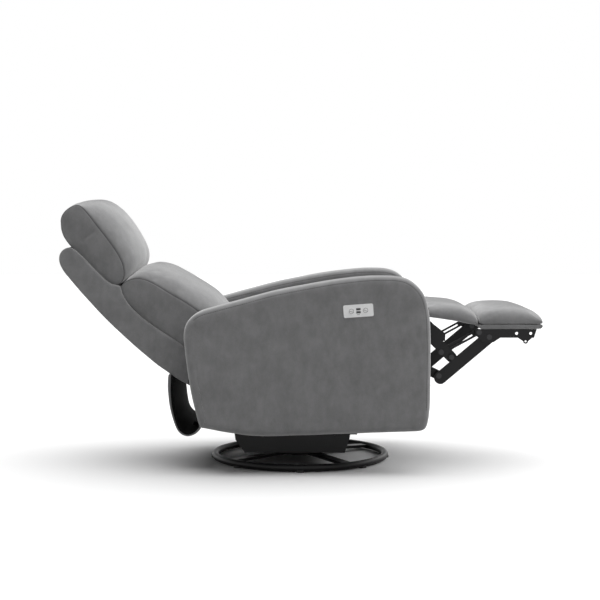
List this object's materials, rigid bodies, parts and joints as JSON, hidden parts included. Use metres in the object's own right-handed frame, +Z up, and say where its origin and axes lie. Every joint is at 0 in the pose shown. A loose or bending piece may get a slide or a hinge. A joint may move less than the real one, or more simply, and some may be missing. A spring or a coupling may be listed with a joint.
{
  "type": "swivel recliner",
  "caption": "Grey upholstered swivel recliner with a headrest bolster, padded arms, push-button control plate, linkage footrest and round black steel ring base.",
  "frame": {"origin": "on the floor, on the swivel axis, under the middle of the chair", "axes": "+X forward, the way the sitter faces; +Y the sitter's left; +Z up"},
  "size_m": [1.6122, 0.786, 0.9217],
  "materials": {
    "upholstery": "brushed suede, seams in the same grey",
    "black_steel": "satin black powder coat",
    "zinc_steel": "dull zinc",
    "white_plastic": "satin white",
    "dark_plastic": "fine texture",
    "black_lining": "plain black dust cover",
    "plywood": "raw plywood",
    "webbing": "woven elastic strap",
    "rail_aluminium": "extruded, plain",
    "glide_rubber": "matt"
  },
  "bodies": {
    "base": {"base_ring": "black_steel", "base_spider": "black_steel", "floor_glides": "glide_rubber", "swivel_lower_plate": "black_steel", "bearing_cage": "dark_plastic", "bearing_balls": "zinc_steel", "king_bolt": "zinc_steel", "king_nut": "zinc_steel"},
    "frame": {"swivel_upper_plate": "black_steel", "swivel_pan": "black_steel", "pan_bolts": "zinc_steel", "rear_cross_bar": "black_steel", "front_cross_bar": "black_steel", "left_arm": "upholstery", "right_arm": "upholstery", "arm_boards": "plywood", "control_plate": "white_plastic", "usb_sockets": "dark_plastic", "control_box": "dark_plastic", "left_side_plate": "black_steel", "right_side_plate": "black_steel", "seat_side_rails": "black_steel", "seat_cross_rails": "black_steel", "seat_webbing": "webbing", "seat_cushion": "upholstery", "rear_panel_cover": "upholstery", "rear_panel_liner": "black_lining", "rear_panel_stays": "black_steel", "recline_ears": "black_steel", "recline_pins": "zinc_steel", "lower_link_pins": "zinc_steel", "actuator_rail": "rail_aluminium", "actuator_motor": "dark_plastic", "actuator_hangers": "black_steel", "mid_pad_lugs": "black_steel"},
    "backrest": {"back_frame": "plywood", "back_shell": "upholstery", "back_cushion": "upholstery", "headrest_cushion": "upholstery"},
    "rocker": {"rocker_links": "black_steel", "rocker_rivets": "zinc_steel", "torque_tube": "black_steel", "drive_arm": "black_steel"},
    "long_link": {"long_links": "black_steel", "long_link_rivets": "zinc_steel"},
    "control_link": {"control_links": "black_steel"},
    "lower_link": {"lower_links": "black_steel"},
    "ottoman": {"ottoman_brackets": "black_steel", "ottoman_rivets": "zinc_steel", "ottoman_board": "upholstery", "ottoman_cushion": "upholstery"},
    "mid_pad": {"mid_pad_cushion": "upholstery", "mid_pad_rod": "zinc_steel"},
    "slider": {"actuator_slider": "dark_plastic"},
    "recline_button": {"recline_button": "white_plastic"},
    "upright_button": {"upright_button": "white_plastic"}
  },
  "joints": [
    {"name": "swivel", "type": "hinge", "parent": "base", "child": "frame", "pos_m": [0, 0, 0], "axis": [0, 0, 1], "continuous": true},
    {"name": "recline", "type": "hinge", "parent": "frame", "child": "backrest", "pos_m": [-0.35625, 0, 0.30017], "axis": [0, 1, 0], "range_deg": [0, 32]},
    {"name": "footrest_fold", "type": "hinge", "parent": "frame", "child": "rocker", "pos_m": [0.2895, 0, 0.4845], "axis": [0, 1, 0], "range_deg": [0, 90]},
    {"name": "long_link_turn", "type": "hinge", "parent": "rocker", "child": "long_link", "pos_m": [0.507, 0, 0.378], "axis": [0, 1, 0], "range_deg": [-90, 0]},
    {"name": "control_link_turn", "type": "hinge", "parent": "rocker", "child": "control_link", "pos_m": [0.473, 0, 0.394], "axis": [0, 1, 0], "range_deg": [-90, 0]},
    {"name": "lower_link_turn", "type": "hinge", "parent": "frame", "child": "lower_link", "pos_m": [0.2475, 0, 0.4215], "axis": [0, 1, 0], "range_deg": [0, 90]},
    {"name": "ottoman_turn", "type": "hinge", "parent": "long_link", "child": "ottoman", "pos_m": [0.632, 0, 0.446], "axis": [0, 1, 0], "range_deg": [0, 90]},
    {"name": "mid_pad_turn", "type": "hinge", "parent": "frame", "child": "mid_pad", "pos_m": [0.416, 0, 0.54], "axis": [0, 1, 0], "range_deg": [0, 81]},
    {"name": "slider_run", "type": "slide", "parent": "frame", "child": "slider", "axis": [-1, 0, 0], "range_m": [0, 0.082]},
    {"name": "recline_press", "type": "slide", "parent": "frame", "child": "recline_button", "axis": [0, 1, 0], "range_m": [0, 0.0015], "stiffness_N_per_m": 600},
    {"name": "upright_press", "type": "slide", "parent": "frame", "child": "upright_button", "axis": [0, 1, 0], "range_m": [0, 0.0015], "stiffness_N_per_m": 600}
  ],
  "couplings": [
    {"joint": "long_link_turn", "follows": "footrest_fold", "ratio": -1},
    {"joint": "control_link_turn", "follows": "footrest_fold", "ratio": -1},
    {"joint": "lower_link_turn", "follows": "footrest_fold", "ratio": 1},
    {"joint": "ottoman_turn", "follows": "footrest_fold", "ratio": 1},
    {"joint": "mid_pad_turn", "follows": "footrest_fold", "ratio": 0.9},
    {"joint": "slider_run", "follows": "footrest_fold", "m_per_rad": 0.052203}
  ]
}
